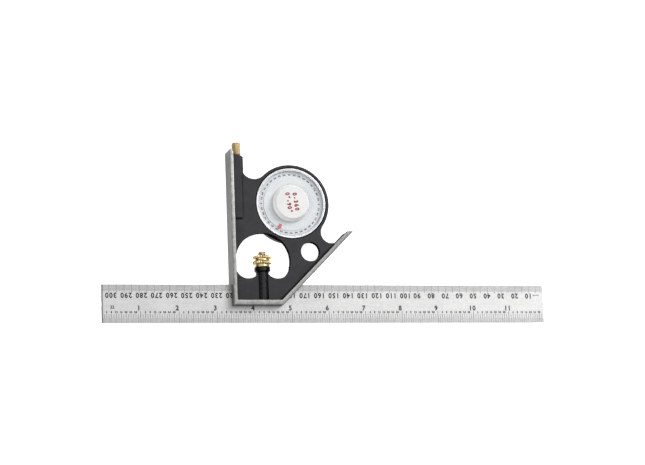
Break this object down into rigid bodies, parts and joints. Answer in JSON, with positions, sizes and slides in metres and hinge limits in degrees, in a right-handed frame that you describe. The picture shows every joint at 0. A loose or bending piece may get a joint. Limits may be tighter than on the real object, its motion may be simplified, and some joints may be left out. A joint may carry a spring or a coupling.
{
  "type": "combination square",
  "caption": "Sliding steel rule held in a cast head with square and mitre faces, a brass lock nut, a scriber and a gravity angle dial.",
  "frame": {"origin": "middle of the tool's plan, on the surface that the head's back edges lie on", "axes": "+X along the rule from its inch zero end, +Y up the head's square face, +Z out of the dial and the rule's front face"},
  "size_m": [0.3048, 0.1216, 0.015],
  "materials": {
    "black_enamel": "satin stove enamel, machined faces left bare",
    "rule_steel": "satin ground stainless",
    "brass": "turned and knurled",
    "steel": "turned",
    "spring_steel": "drawn wire",
    "case_plastic": "moulded",
    "dial_plate": "satin, printed scale",
    "clear_lens": "clear moulded window",
    "white_plastic": "gloss moulded",
    "bright_ring": "polished",
    "pointer_aluminium": "satin disc with a printed red pointer",
    "weight_metal": "as cast"
  },
  "bodies": {
    "stock": {"head": "black_enamel", "lock_spring": "spring_steel", "spring_washer": "steel", "scriber_bush": "brass", "finder_case": "case_plastic", "rear_bearing": "brass", "front_bearing": "brass", "dial_ring": "dial_plate", "lens_spacer": "case_plastic", "lens": "clear_lens", "hub_cap": "white_plastic", "bezel": "bright_ring"},
    "rule": {"blade": "rule_steel"},
    "clamp_bolt": {"lock_bolt": "brass"},
    "clamp_nut": {"lock_nut": "brass"},
    "scriber": {"scriber_pin": "steel", "scriber_knob": "brass"},
    "pendulum": {"pointer_disc": "pointer_aluminium", "pendulum_weight": "weight_metal", "weight_rivets": "steel", "pendulum_hub": "brass", "pivot_pin": "steel"}
  },
  "joints": [
    {"name": "rule_slide", "type": "slide", "parent": "stock", "child": "rule", "axis": [1, 0, 0], "range_m": [-0.19, 0.1]},
    {"name": "lock_nut_turn", "type": "hinge", "parent": "stock", "child": "clamp_nut", "pos_m": [-0.04455, -0.0201, 0.0075], "axis": [0, 1, 0], "range_deg": [0, 450]},
    {"name": "lock_bolt_draw", "type": "slide", "parent": "stock", "child": "clamp_bolt", "axis": [0, 1, 0], "range_m": [-0.001, 0]},
    {"name": "scriber_slide", "type": "slide", "parent": "stock", "child": "scriber", "axis": [0, 1, 0], "range_m": [0, 0.038]},
    {"name": "pointer_swing", "type": "hinge", "parent": "stock", "child": "pendulum", "pos_m": [-0.0239, 0.0197, 0.0075], "axis": [0, 0, 1], "continuous": true}
  ],
  "couplings": [
    {"joint": "lock_nut_turn", "follows": "lock_bolt_draw", "rad_per_m": -7854}
  ]
}
